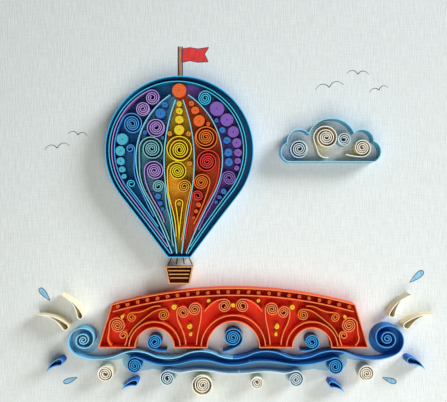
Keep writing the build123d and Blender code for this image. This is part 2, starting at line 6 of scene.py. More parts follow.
import bpy
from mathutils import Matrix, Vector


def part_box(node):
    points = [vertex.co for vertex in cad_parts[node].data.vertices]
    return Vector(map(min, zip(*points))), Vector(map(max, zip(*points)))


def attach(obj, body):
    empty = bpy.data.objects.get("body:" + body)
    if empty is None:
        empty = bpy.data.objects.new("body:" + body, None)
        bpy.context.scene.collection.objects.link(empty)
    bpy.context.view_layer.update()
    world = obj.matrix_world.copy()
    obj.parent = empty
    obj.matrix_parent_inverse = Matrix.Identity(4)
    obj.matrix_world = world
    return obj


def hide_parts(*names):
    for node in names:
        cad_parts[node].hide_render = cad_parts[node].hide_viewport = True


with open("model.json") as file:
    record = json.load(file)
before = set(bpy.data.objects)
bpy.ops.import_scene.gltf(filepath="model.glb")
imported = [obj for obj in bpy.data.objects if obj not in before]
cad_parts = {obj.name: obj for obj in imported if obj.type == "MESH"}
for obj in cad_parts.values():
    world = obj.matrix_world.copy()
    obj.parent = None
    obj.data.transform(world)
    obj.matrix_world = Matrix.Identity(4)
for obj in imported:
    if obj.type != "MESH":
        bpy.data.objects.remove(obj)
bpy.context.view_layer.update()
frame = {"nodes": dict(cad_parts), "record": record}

bl_info = {
    "name": "Quilled Picture",
    "version": (1, 0, 0),
    "blender": (4, 5, 0),
    "location": "3D View > Sidebar > Quilling",
    "description": "Papers, coils, drawn marks and studio for a quilled picture on linen board",
    "category": "Object",
}

MM = 0.001
# Two points of a mesh that are nearer than this are one
SAME_PLACE = 0.005 * MM
# The sockets of a node that mixes colours
MIX_SHARE, MIX_FIRST, MIX_SECOND, MIX_RESULT = 0, 6, 7, 2
# The order of a drawn line's curve: straight from point to point, or smooth past them
WITH_CORNERS, SMOOTH = 2, 3


# Values that a user would change
def srgb(red, green, blue):
    """A colour in the scene's linear values, from the 0 to 255 values of a swatch."""
    swatch = (red / 255, green / 255, blue / 255)
    return tuple(c / 12.92 if c <= 0.04045 else ((c + 0.055) / 1.055) ** 2.4 for c in swatch)


def colour(name, description, red, green, blue):
    """A colour setting."""
    return bpy.props.FloatVectorProperty(
        name=name,
        description=description,
        subtype="COLOR",
        size=3,
        min=0.0,
        max=1.0,
        default=srgb(red, green, blue),
    )


def length(name, description, millimetres):
    """A length setting, kept in metres and given here in millimetres."""
    return bpy.props.FloatProperty(
        name=name,
        description=description,
        default=millimetres * MM,
        min=0.0,
        precision=5,
        unit="LENGTH",
        subtype="DISTANCE",
    )


def share(name, description, default):
    """A setting from nothing to all."""
    return bpy.props.FloatProperty(
        name=name, description=description, default=default, min=0.0, max=1.0, subtype="FACTOR"
    )


def count(name, description, default, least, most):
    """A whole number."""
    return bpy.props.IntProperty(
        name=name, description=description, default=default, min=least, max=most
    )


def angle(name, description, degrees):
    """An angle setting, given here in degrees."""
    return bpy.props.FloatProperty(
        name=name,
        description=description,
        default=math.radians(degrees),
        unit="ROTATION",
        subtype="ANGLE",
    )


def watts(name, description, default):
    """A lamp's power in watts."""
    return bpy.props.FloatProperty(
        name=name, description=description, default=default, min=0.0, subtype="POWER"
    )


class WallColours(bpy.types.PropertyGroup):
    """The colours of the strips' sides"""

    navy_paper: colour("Outline blue", "Balloon outline", 8, 148, 204)
    cyan_paper: colour("Cyan", "Balloon inner line and curls", 26, 128, 178)
    sky_paper: colour("Sky", "Balloon seams and a wave", 112, 186, 224)
    teal_paper: colour("Teal", "Second panel's scrolls", 74, 142, 160)
    blue_paper: colour("Blue", "Blue scrolls and a wave", 30, 112, 196)
    azure_paper: colour("Azure", "Lower waves", 22, 100, 172)
    lilac_paper: colour("Lilac", "Lilac curls", 122, 84, 166)
    violet_paper: colour("Violet", "Right panel's scroll", 84, 52, 142)
    yellow_paper: colour("Yellow", "Middle panel's curls", 232, 170, 14)
    amber_paper: colour("Amber", "Middle panel's small curls", 206, 112, 14)
    orange_paper: colour("Orange", "Fourth panel's curls", 214, 82, 16)
    red_paper: colour("Red", "Fourth panel's scrolls", 176, 24, 22)
    coral_paper: colour("Coral", "Bridge strips", 236, 82, 30)
    tan_paper: colour("Tan", "Basket strips", 196, 128, 66)
    # The white strips' cream sides are painted warm shade for the gaps between the turns
    white_paper: colour("White", "White curls", 242, 228, 190)
    pale_blue_paper: colour("Pale blue", "Pale curls", 150, 188, 208)


class PaintedHighlightColours(bpy.types.PropertyGroup):
    """The colours painted on the strips' top edges: lighter than the sides, a painted highlight
    where the light falls
    """

    navy_paper: colour("Outline blue", "Balloon outline", 56, 192, 248)
    cyan_paper: colour("Cyan", "Balloon inner line and curls", 66, 214, 252)
    sky_paper: colour("Sky", "Balloon seams and a wave", 146, 228, 255)
    teal_paper: colour("Teal", "Second panel's scrolls", 140, 208, 218)
    blue_paper: colour("Blue", "Blue scrolls and a wave", 76, 170, 244)
    azure_paper: colour("Azure", "Lower waves", 54, 164, 236)
    lilac_paper: colour("Lilac", "Lilac curls", 196, 160, 240)
    violet_paper: colour("Violet", "Right panel's scroll", 148, 112, 208)
    yellow_paper: colour("Yellow", "Middle panel's curls", 255, 230, 20)
    amber_paper: colour("Amber", "Middle panel's small curls", 248, 176, 52)
    orange_paper: colour("Orange", "Fourth panel's curls", 255, 130, 30)
    red_paper: colour("Red", "Fourth panel's scrolls", 252, 62, 52)
    coral_paper: colour("Coral", "Bridge strips", 255, 142, 74)
    tan_paper: colour("Tan", "Basket strips", 230, 168, 104)
    white_paper: colour("White", "White curls", 255, 254, 248)
    pale_blue_paper: colour("Pale blue", "Pale curls", 222, 240, 248)


class CoilHighlightColours(bpy.types.PropertyGroup):
    """The colours of the tight coils' tops, where many top edges lie close together: a painted
    highlight, lighter than the coils' sides
    """

    cyan_paper: colour("Cyan", "Left panel's coils", 84, 200, 226)
    blue_paper: colour("Blue", "Blue coils", 44, 130, 214)
    lilac_paper: colour("Lilac", "Right panel's coils", 140, 98, 200)
    yellow_paper: colour("Yellow", "Yellow coils", 255, 222, 44)
    amber_paper: colour("Amber", "Middle panel's small coils", 240, 160, 50)
    orange_paper: colour("Orange", "Fourth panel's coils", 255, 112, 30)
    coral_paper: colour("Coral", "Crown coil and parapet", 255, 112, 44)


class SheetColours(bpy.types.PropertyGroup):
    """The colours of the papers that lie flat under the strips, set lighter than the papers
    themselves to paint light into the floors that the strips shade
    """

    dark_teal_sheet: colour("Dark teal", "Balloon's band and left panel", 44, 124, 178)
    teal_sheet: colour("Teal", "Balloon's second panel", 128, 212, 234)
    amber_sheet: colour("Amber", "Balloon's middle panel", 255, 200, 48)
    brown_red_sheet: colour("Brown red", "Balloon's fourth panel", 255, 102, 50)
    plum_sheet: colour("Plum", "Balloon's right panel", 160, 112, 208)
    brown_sheet: colour("Brown", "Basket", 190, 116, 62)
    red_sheet: colour("Red", "Bridge", 252, 58, 12)
    blue_sheet: colour("Blue", "Deep water", 22, 112, 184)
    grey_sheet: colour("Pale grey", "Cloud", 244, 247, 250)
    pale_blue_sheet: colour("Pale blue", "Shallow water", 158, 202, 222)


class PaperSettings(bpy.types.PropertyGroup):
    """How every paper looks close to"""

    fibre: length("Fibre length", "Length of the fibres that show in the paper", 1.2)
    relief: length("Fibre relief", "How far the fibres stand out", 0.03)
    mottle_width: length("Mottle width", "Width of the paper's lighter and darker parts", 20.0)
    mottle: share("Mottle", "How much the paper's colour varies", 0.1)
    # Painted highlight: how far the strips' top edges take their lighter colour, which stands for
    # the light that falls on them
    cut: share("Cut edge", "How far an edge shows its own, lighter colour", 0.95)
    roughness: share("Roughness", "How matt the paper is", 0.72)


class BoardSettings(bpy.types.PropertyGroup):
    """The linen-finish board"""

    face: colour("Face", "The board's face", 236, 241, 242)
    core: colour("Core", "The board's layers at its edges", 224, 219, 206)
    back: colour("Back", "The board's back", 206, 202, 192)
    thread: length("Thread", "Width of one pressed thread", 0.75)
    run: length("Thread run", "How far one pressed thread keeps its look", 9.0)
    relief: length("Relief", "How deep the linen grain is pressed", 0.09)
    layer: length("Layer", "Thickness of one layer at the edge", 0.3)
    layer_run: length("Layer run", "How far one layer keeps its look along the edge", 50.0)
    warp: share("Warp", "Share of the threads up the board in its grain", 0.5)
    weft: share("Weft", "Share of the threads across the board in its grain", 0.28)
    shade: share("Grain shade", "How far the grain darkens the face", 0.13)


class CoilSettings(bpy.types.PropertyGroup):
    """The tight coils"""

    turn: length("Turn", "From one turn of paper to the next", 0.32)
    paper: length("Paper", "Thickness of the paper that is wound", 0.27)
    eye: length("Eye", "Radius of the eye that the slotted tool leaves", 0.3)
    eye_share: share("Eye share", "Most of a small coil's radius that its eye takes", 0.18)
    like: length("Like size", "Coils whose radii differ by less than this are alike", 0.05)
    twist: angle("Twist", "How far each coil is turned from the last one", 137.5)
    crease: angle("Crease", "Faces that meet at less than this look smooth", 30.0)
    steps: count("Steps", "Steps round each half turn", 10, 6, 32)


class MarkSettings(bpy.types.PropertyGroup):
    """The marks drawn on the board"""

    ink: colour("Ink", "Ink lines", 46, 50, 58)
    pencil: colour("Brown pencil", "Basket ropes", 124, 88, 70)
    wood: colour("Light brown pencil", "Flag pole", 190, 126, 90)
    flag: colour("Red pencil", "Pennant", 214, 50, 52)
    drop: colour("Blue pencil", "Drawn drops", 128, 182, 216)
    line: length("Ink line", "Width of an ink line", 0.55)
    drop_line: length("Drop line", "Width of the ink line round a drawn drop", 0.6325)
    rope: length("Rope line", "Width of a rope's pencil line", 0.9)
    rope_gap: length("Rope gap", "From a rope's end to the strip that it leads to", 0.4)
    film: length("Film", "Height of a line over the board", 0.05)
    patch: share("Patch height", "How high a filled patch lies, of a line's height", 0.6)
    relief: length("Mark relief", "How far the marks' grain stands out", 0.02)
    pennant: length("Pennant", "Length of the pennant", 17.0)
    pennant_side: length("Pennant's side", "From the pole's middle to the pennant", 0.8)
    pennant_drop: length("Pennant's drop", "From the pole's top down to the pennant", 1.0)
    pole: length("Pole", "Height of the flag pole", 20.0)
    pole_gap: length("Pole gap", "From the flag pole's foot to the balloon", 0.3)
    pole_width: length("Pole width", "Width of the flag pole", 2.5)
    pole_line: length("Pole line", "Width of the ink lines along the flag pole", 0.85)
    taper: share("Taper", "How far a line thins towards its ends", 0.1)
    drop_taper: share("Drop taper", "How far a drop's outline thins at its tip", 0.3)
    bird_taper: share("Bird taper", "How far a bird's line thins towards its ends", 0.6)
    line_streaks: count("Line streaks", "Streaks in a metre of a pencil line", 900, 1, 5000)
    patch_streaks: count("Patch streaks", "Streaks in a metre of a filled patch", 700, 1, 5000)
    ink_streaks: count("Ink streaks", "Streaks in a metre of an ink line", 1100, 1, 5000)
    steps: count("Steps", "Steps between two points of a line", 8, 2, 24)
    roundness: count("Roundness", "How round a line is across", 1, 0, 4)


class StudioSettings(bpy.types.PropertyGroup):
    """Floor, lights and camera"""

    floor: colour("Floor", "Floor under the picture", 232, 232, 230)
    floor_size: length("Floor size", "Width of the floor", 4000.0)
    floor_drop: length("Floor drop", "From the picture's back down to the floor", 0.1)
    floor_mottle: length("Floor mottle", "Width of the floor's mottle", 25.0)
    floor_glow: share("Floor glow", "How far the floor looks pale where no lamp reaches it", 0.6)
    camera_height: length("Camera height", "Camera over the board's face", 388.0)
    lens: bpy.props.FloatProperty(
        name="Lens", description="Focal length", default=50.0, min=10.0, unit="CAMERA"
    )
    main_turn: angle("Main light's turn", "Where the main light stands, from the right", 32.0)
    main_rise: angle("Main light's rise", "How high the main light stands", 23.0)
    main_distance: length("Main light's distance", "Main light from the picture", 2200.0)
    main_size: length("Main light's size", "Width of the main light", 880.0)
    main_power: watts("Main light's power", "Power of the main light", 57.0)
    main_tint: colour("Main light's tint", "Colour of the main light", 241, 247, 252)
    fill_turn: angle("Fill light's turn", "Where the fill light stands, from the right", -82.0)
    fill_rise: angle("Fill light's rise", "How high the fill light stands", 57.0)
    fill_distance: length("Fill light's distance", "Fill light from the picture", 480.0)
    fill_size: length("Fill light's size", "Width of the fill light", 420.0)
    fill_power: watts("Fill light's power", "Power of the fill light", 1.58)
    fill_tint: colour("Fill light's tint", "Colour of the fill light", 255, 253, 243)
    sky_strength: share("Sky strength", "Light from all round", 0.11)
    sky_tint: colour("Sky tint", "Colour of the light from all round", 255, 252, 236)
    backdrop: share("Backdrop", "How pale the camera sees what lies past the floor", 0.95)


# Materials
class Flow:
    """A socket's value on its way through a material, with sums written as plain expressions."""

    def __init__(self, tree, socket):
        self.tree = tree
        self.socket = socket

    def _calculate(self, operation, first, second):
        node = self.tree.nodes.new("ShaderNodeMath")
        node.operation = operation
        for slot, value in zip(node.inputs, (first, second)):
            if isinstance(value, Flow):
                self.tree.links.new(value.socket, slot)
            else:
                slot.default_value = value
        return Flow(self.tree, node.outputs[0])

    def __add__(self, other):
        return self._calculate("ADD", self, other)

    def __radd__(self, other):
        return self._calculate("ADD", other, self)

    def __sub__(self, other):
        return self._calculate("SUBTRACT", self, other)

    def __rsub__(self, other):
        return self._calculate("SUBTRACT", other, self)

    def __mul__(self, other):
        return self._calculate("MULTIPLY", self, other)

    def __rmul__(self, other):
        return self._calculate("MULTIPLY", other, self)

    def __gt__(self, other):
        return self._calculate("GREATER_THAN", self, other)


class Finish:
    """One material, or the studio's sky, built up node by node."""

    def __init__(self, block, end="OutputMaterial"):
        self.block = block
        self.end = end
        block.use_nodes = True
        self.tree = block.node_tree
        self.tree.nodes.clear()

    def add(self, kind, settings=None, inputs=None, output=0):
        """A node of this kind, its settings made first, then its inputs' values or links."""
        node = self.tree.nodes.new("ShaderNode" + kind)
        for key, value in (settings or {}).items():
            setattr(node, key, value)
        for key, value in (inputs or {}).items():
            if isinstance(value, Flow):
                self.tree.links.new(value.socket, node.inputs[key])
            else:
                node.inputs[key].default_value = value
        return None if output is None else Flow(self.tree, node.outputs[output])

    def places(self):
        """Object coordinates."""
        return self.add("TexCoord", output="Object")

    def stretched(self, places, scale, move=(0.0, 0.0, 0.0)):
        """Coordinates scaled by each axis, for a grain that runs one way."""
        return self.add("Mapping", None, {"Vector": places, "Scale": scale, "Location": move})

    def noise(self, places, scale, detail=3.0, roughness=0.55):
        """Soft noise from 0 to 1."""
        inputs = {"Vector": places, "Scale": scale, "Detail": detail, "Roughness": roughness}
        return self.add("TexNoise", None, inputs, "Fac")

    def facing_up(self):
        """How far the surface faces up, from -1 to 1."""
        normal = self.add("NewGeometry", output="Normal")
        return self.add("SeparateXYZ", None, {"Vector": normal}, "Z")

    def eased(self, value, low, high, start=0.0, end=1.0):
        """A value eased from start to end as it passes from low to high."""
        settings = {"interpolation_type": "SMOOTHSTEP"}
        inputs = {"Value": value, "From Min": low, "From Max": high}
        inputs.update({"To Min": start, "To Max": end})
        return self.add("MapRange", settings, inputs)

    def blend(self, mask, first, second):
        """One colour passing into another."""
        settings = {"data_type": "RGBA"}
        inputs = {MIX_SHARE: mask, MIX_FIRST: with_alpha(first), MIX_SECOND: with_alpha(second)}
        return self.add("Mix", settings, inputs, MIX_RESULT)

    def shaded(self, tint, factor):
        """A colour with its brightness multiplied."""
        return self.add("VectorMath", {"operation": "SCALE"}, {0: tint, "Scale": factor})

    def surface(self, base, roughness, height, relief):
        """The material with this colour and roughness, and a grain of this relief."""
        inputs = {"Height": height, "Distance": relief, "Strength": 1.0}
        bump = self.add("Bump", None, inputs, "Normal")
        inputs = {"Base Color": base, "Roughness": roughness, "Normal": bump}
        return self.ended(self.add("BsdfPrincipled", None, inputs))

    def seen_as(self, amount, real, pale):
        """The material or sky that gives way to a paler one, by this amount, for the camera."""
        camera = self.add("LightPath", output="Is Camera Ray")
        return self.ended(self.add("MixShader", None, {0: camera * amount, 1: real, 2: pale}))

    def ended(self, shader):
        """The material or sky that shows this shader."""
        self.add(self.end, None, {"Surface": shader}, None)
        return self.block


def with_alpha(tint):
    """A colour with the fourth value that a colour socket wants."""
    return tint if isinstance(tint, Flow) else (*tint, 1.0)


def fibres(finish, paper):
    """Paper's fibre grain and its slow mottle, each from 0 to 1."""
    places = finish.places()
    grain = finish.noise(places, 1.0 / paper.fibre, 5.0, 0.62)
    mottle = finish.noise(places, 1.0 / paper.mottle_width, 2.0)
    return grain, mottle


def strip_finish(name, wall, edge, paper):
    """Coloured strip paper: its sides in the wall colour and its top edge in a lighter colour, a
    painted highlight.
    """
    finish = Finish(bpy.data.materials.new(name))
    grain, mottle = fibres(finish, paper)
    # Painted highlight: faces that look up take the lighter edge colour for the light that falls
    # on them, and the sides keep the wall colour
    side, level = 0.45, 0.85
    cut = finish.eased(finish.facing_up(), side, level) * paper.cut
    tint = finish.blend(cut, tuple(wall), tuple(edge))
    tone = 1.0 + paper.mottle * (0.5 * grain + 0.5 * mottle - 0.5)
    roughness = paper.roughness - 0.1 + 0.2 * grain
    return finish.surface(finish.shaded(tint, tone), roughness, grain, paper.relief)


def sheet_finish(name, face, paper):
    """Plain coloured paper that lies flat."""
    finish = Finish(bpy.data.materials.new(name))
    grain, mottle = fibres(finish, paper)
    tone = 1.0 + 1.4 * paper.mottle * (0.4 * grain + 0.6 * mottle - 0.5)
    roughness = paper.roughness - 0.05 + 0.15 * grain
    return finish.surface(finish.shaded(tuple(face), tone), roughness, grain, paper.relief)


def linen_finish(board):
    """White board pressed with a linen grain, its layers bare at the edges."""
    finish = Finish(bpy.data.materials.new("linen_board"))
    places = finish.places()
    across, along = 1.0 / board.thread, 1.0 / board.run
    apart = (3.1, 1.7, 0.0)
    warp_places = finish.stretched(places, (across, along, across))
    weft_places = finish.stretched(places, (along, across, across), apart)
    low, high = 0.3, 0.7
    warp = finish.eased(finish.noise(warp_places, 1.0, 2.0, 0.6), low, high)
    weft = finish.eased(finish.noise(weft_places, 1.0, 2.0, 0.6), low, high)
    pitting = finish.noise(places, 0.9 / board.thread, 2.0)
    linen = board.warp * warp + board.weft * weft + (1.0 - board.warp - board.weft) * pitting
    lift = 1.3
    face_tint = finish.shaded(tuple(board.face), 1.0 - board.shade * (1.0 - lift * linen))
    run = 1.0 / board.layer_run
    layer_places = finish.stretched(places, (run, run, 1.0 / board.layer))
    layers = finish.noise(layer_places, 1.0, 2.0)
    side_tint = finish.shaded(tuple(board.core), 0.86 + 0.24 * layers)
    back_tint = finish.shaded(tuple(board.back), 0.92 + 0.14 * pitting)
    up = finish.facing_up()
    half_way = 0.5
    base = finish.blend(up > half_way, side_tint, face_tint)
    base = finish.blend(up * -1.0 > half_way, base, back_tint)
    roughness = 0.7 + 0.15 * pitting
    return finish.surface(base, roughness, linen, board.relief)


def mark_finish(marks, name, tint, streaks):
    """Ink or pencil on linen grain: fuller on the threads, thinner between them."""
    finish = Finish(bpy.data.materials.new(name))
    upwards = (1.0, 0.22, 1.0)
    grain = finish.noise(finish.stretched(finish.places(), upwards), streaks, 3.0, 0.6)
    low, high = 0.35, 0.65
    full, thin = 1.0, 1.35
    tone = finish.eased(grain, low, high, full, thin)
    return finish.surface(finish.shaded(tuple(tint), tone), 0.8 + 0.1 * grain, grain, marks.relief)


def floor_finish(studio):
    """The studio floor: matt, and kept pale for the camera where no lamp reaches it."""
    finish = Finish(bpy.data.materials.new("studio_floor"))
    tint = with_alpha(studio.floor)
    grain = finish.noise(finish.places(), 1.0 / studio.floor_mottle)
    inputs = {"Base Color": tint, "Roughness": 0.7 + 0.1 * grain}
    lit = finish.add("BsdfPrincipled", None, inputs)
    pale = finish.add("Emission", None, {"Color": tint})
    return finish.seen_as(studio.floor_glow, lit, pale)


# Modelling
def record_slots():
    """Each node's material slot."""
    return {part["node"]: part["material_slot"] for part in frame["record"]["subparts"]}


def dress(node, material):
    """Gives a node of the packed model this material all over."""
    mesh = frame["nodes"][node].data
    mesh.materials.clear()
    mesh.materials.append(material)


def pick_only(*pieces):
    """Selects these pieces and nothing else, the last one active."""
    bpy.ops.object.select_all(action="DESELECT")
    for piece in pieces:
        piece.select_set(True)
        bpy.context.view_layer.objects.active = piece


def settle(piece, name, material):
    """Finishes a new piece: its place goes into its mesh, and it rides with the picture."""
    pick_only(piece)
    bpy.ops.object.transform_apply(location=True, rotation=True, scale=True)
    piece.name = name
    piece.data.name = name
    piece.data.materials.clear()
    piece.data.materials.append(material)
    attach(piece, "root")


def joined(pieces):
    """Several meshes as one, their places gone into it."""
    pick_only(*pieces)
    bpy.ops.object.transform_apply(location=True, rotation=True, scale=True)
    if len(pieces) > 1:
        bpy.ops.object.join()
    return bpy.context.object


def board_top():
    """The height of the board's face."""
    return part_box("linen_board")[1].z


def coil_places(node):
    """Centre, foot, top and radius of each coil in a node, from a copy split into loose parts."""
    copy = frame["nodes"][node].copy()
    copy.data = copy.data.copy()
    copy.parent = None
    bpy.context.collection.objects.link(copy)
    pick_only(copy)
    bpy.ops.object.mode_set(mode="EDIT")
    bpy.ops.mesh.select_all(action="SELECT")
    bpy.ops.mesh.remove_doubles(threshold=SAME_PLACE)
    bpy.ops.mesh.separate(type="LOOSE")
    bpy.ops.object.mode_set(mode="OBJECT")
    parts = list(bpy.context.selected_objects)
    places = []
    for part in parts:
        xs, ys, zs = zip(*(vertex.co for vertex in part.data.vertices))
        radius = (max(xs) - min(xs) + max(ys) - min(ys)) / 4
        places.append(((max(xs) + min(xs)) / 2, (max(ys) + min(ys)) / 2, min(zs), max(zs), radius))
    bpy.ops.object.delete()
    return places


def wind_coil(radius, foot, top, coil):
    """A tight coil: a strip on edge, wound from its eye in half turns that grow evenly."""
    eye = min(coil.eye, coil.eye_share * radius)
    room = radius - eye - coil.paper
    half_turns = max(2, round(2 * room / coil.turn))
    # The half turns take two centres by turns, and the coil is set midway between them
    growth = room / (half_turns - 0.5)
    bpy.ops.object.select_all(action="DESELECT")
    bpy.ops.mesh.primitive_plane_add(
        size=1.0,
        location=(eye + coil.paper / 2, 0.0, (foot + top) / 2),
        rotation=(math.pi / 2, 0.0, 0.0),
    )
    piece = bpy.context.object
    piece.scale = (coil.paper, top - foot, 1.0)
    bpy.ops.object.transform_apply(location=True, rotation=True, scale=True)
    bpy.ops.object.mode_set(mode="EDIT")
    bpy.ops.mesh.select_all(action="SELECT")
    for number in range(half_turns):
        middle = (growth * (number % 2), 0.0, 0.0)
        bpy.ops.mesh.spin(steps=coil.steps, angle=math.pi, center=middle, axis=(0.0, 0.0, 1.0))
    bpy.ops.mesh.select_all(action="SELECT")
    bpy.ops.mesh.remove_doubles(threshold=SAME_PLACE)
    bpy.ops.mesh.normals_make_consistent(inside=False)
    bpy.ops.transform.translate(value=(-growth / 2, 0.0, 0.0))
    bpy.ops.object.mode_set(mode="OBJECT")
    bpy.ops.object.shade_smooth_by_angle(angle=coil.crease)
    return piece


def wind_node(node, coil):
    """All the tight coils of one node, as one piece: like coils are wound once and copied."""
    winds, wound = [], {}
    for number, (x, y, foot, top, radius) in enumerate(coil_places(node)):
        size = round(radius / coil.like)
        if size not in wound:
            wound[size] = wind_coil(radius, foot, top, coil)
            piece = wound[size]
        else:
            pick_only(wound[size])
            bpy.ops.object.duplicate()
            piece = bpy.context.object
        piece.location.x, piece.location.y = x, y
        piece.rotation_euler.z = number * coil.twist
        winds.append(piece)
    return joined(winds)


def draw_mark(marks, points, width, taper, run=SMOOTH):
    """A drawn line, smooth or with corners, pressed flat on the board."""
    ground = board_top()
    bpy.ops.object.select_all(action="DESELECT")
    bpy.ops.curve.primitive_nurbs_path_add(location=(0.0, 0.0, 0.0))
    line = bpy.context.object
    spline = line.data.splines[0]
    while len(spline.points) < len(points):
        spline.points.add(1)
    while len(spline.points) > len(points):
        drop_last(line)
        spline = line.data.splines[0]
    for number, (point, (x, y)) in enumerate(zip(spline.points, points)):
        point.co = (x, y, ground, 1.0)
        point.radius = 1.0 - taper * abs(2 * number / (len(points) - 1) - 1)
    spline.order_u = run
    spline.use_endpoint_u = True
    spline.resolution_u = marks.steps
    line.data.bevel_depth = width / 2
    line.data.bevel_resolution = marks.roundness
    line.data.use_fill_caps = True
    bpy.ops.object.convert(target="MESH")
    bpy.ops.object.mode_set(mode="EDIT")
    bpy.ops.mesh.select_all(action="SELECT")
    flatness = 2 * marks.film / width
    bpy.ops.transform.resize(value=(1.0, 1.0, flatness), center_override=(0.0, 0.0, ground))
    bpy.ops.object.mode_set(mode="OBJECT")
    return bpy.context.object


def drop_last(line):
    """Deletes a path's last point."""
    bpy.ops.object.mode_set(mode="EDIT")
    bpy.ops.curve.select_all(action="DESELECT")
    line.data.splines[0].points[-1].select = True
    bpy.ops.curve.delete(type="VERT")
    bpy.ops.object.mode_set(mode="OBJECT")


def fill_outline(marks, points):
    """A flat patch of pencil inside an outline."""
    bpy.ops.object.select_all(action="DESELECT")
    bpy.ops.mesh.primitive_circle_add(vertices=len(points), fill_type="NGON")
    patch = bpy.context.object
    for vertex, (x, y) in zip(patch.data.vertices, points):
        vertex.co = (x, y, board_top())
    bpy.ops.object.mode_set(mode="EDIT")
    bpy.ops.mesh.select_all(action="SELECT")
    bpy.ops.mesh.normals_make_consistent(inside=False)
    height = marks.film * marks.patch
    bpy.ops.mesh.extrude_region_move(TRANSFORM_OT_translate={"value": (0.0, 0.0, height)})
    bpy.ops.mesh.select_all(action="SELECT")
    bpy.ops.mesh.normals_make_consistent(inside=False)
    bpy.ops.object.mode_set(mode="OBJECT")
    return patch


def upright(x, foot, top):
    """The points of an upright line."""
    return [(x, foot), (x, (foot + top) / 2), (x, top)]


def turned(shape, x, y, size, turn):
    """A shape's points on the board: place and size in millimetres, turn in degrees."""
    cosine, sine = math.cos(math.radians(turn)), math.sin(math.radians(turn))
    points = []
    for across, up in shape:
        right = x + size * (across * cosine - up * sine)
        high = y + size * (across * sine + up * cosine)
        points.append((right * MM, high * MM))
    return points


# One operator for each group of pieces
class QUILLING_OT_board(bpy.types.Operator):
    """Gives the board its linen face, its layered edges and its back"""

    bl_idname = "quilling.board"
    bl_label = "Linen Board"

    def execute(self, context):
        dress("linen_board", linen_finish(context.scene.quilled_board))
        return {"FINISHED"}


class QUILLING_OT_sheets(bpy.types.Operator):
    """Gives each paper that lies under the strips its colour and grain"""

    bl_idname = "quilling.sheets"
    bl_label = "Flat Papers"

    def execute(self, context):
        colours = context.scene.quilled_sheets
        finishes = {}
        for node, slot in record_slots().items():
            if hasattr(colours, slot):
                if slot not in finishes:
                    paper = context.scene.quilled_paper
                    finishes[slot] = sheet_finish(slot, getattr(colours, slot), paper)
                dress(node, finishes[slot])
        return {"FINISHED"}


class QUILLING_OT_strips(bpy.types.Operator):
    """Gives each strip its coloured sides and, on its top edge, a lighter colour as a painted
    highlight
    """

    bl_idname = "quilling.strips"
    bl_label = "Strips"

    def execute(self, context):
        walls, edges = context.scene.quilled_walls, context.scene.quilled_edges
        finishes = {}
        for node, slot in record_slots().items():
            if hasattr(walls, slot):
                if slot not in finishes:
                    wall, edge = getattr(walls, slot), getattr(edges, slot)
                    finishes[slot] = strip_finish(slot, wall, edge, context.scene.quilled_paper)
                dress(node, finishes[slot])
        return {"FINISHED"}


class QUILLING_OT_coils(bpy.types.Operator):
    """Winds each tight coil turn by turn in place of its plain round"""

    bl_idname = "quilling.coils"
    bl_label = "Tight Coils"

    nodes = (
        "crown_coil",
        "left_panel_cyan_coils",
        "second_panel_blue_coils",
        "middle_panel_yellow_coils",
        "middle_panel_amber_coils",
        "fourth_panel_orange_coils",
        "right_panel_purple_coils",
        "right_panel_blue_coils",
        "bridge_yellow_coils",
        "bridge_parapet_coils",
    )

    def execute(self, context):
        stage, slots, finishes = context.scene, record_slots(), {}
        for node in self.nodes:
            slot = slots[node]
            if slot not in finishes:
                # Each coil's top takes its painted highlight colour, and its sides take the wall
                # colour
                wall, top = getattr(stage.quilled_walls, slot), getattr(stage.quilled_tops, slot)
                finishes[slot] = strip_finish("wound_" + slot, wall, top, stage.quilled_paper)
            piece = wind_node(node, stage.quilled_coils)
            settle(piece, "wound_" + node, finishes[slot])
            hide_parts(node)
        return {"FINISHED"}


class QUILLING_OT_ropes(bpy.types.Operator):
    """Draws the ropes from the balloon's mouth to its basket in brown pencil"""

    bl_idname = "quilling.ropes"
    bl_label = "Basket Ropes"

    def execute(self, context):
        marks = context.scene.quilled_marks
        balloon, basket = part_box("envelope_outline"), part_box("basket_outline")
        middle = (basket[0].x + basket[1].x) / 2
        half = (basket[1].x - basket[0].x) / 2
        # The ropes' places across the basket, and how far they draw in above and spread below
        reaches, drawn_in, spread = (-0.78, -0.26, 0.26, 0.78), 0.8, 1.15
        lines = []
        for reach in reaches:
            high = (middle + reach * half * drawn_in, balloon[0].y - marks.rope_gap)
            low = (middle + reach * half * spread, basket[1].y + marks.rope_gap)
            bend = ((high[0] + low[0]) / 2, (high[1] + low[1]) / 2)
            lines.append(draw_mark(marks, [high, bend, low], marks.rope, marks.taper))
        finish = mark_finish(marks, "brown_pencil", marks.pencil, marks.line_streaks)
        settle(joined(lines), "rope_marks", finish)
        return {"FINISHED"}


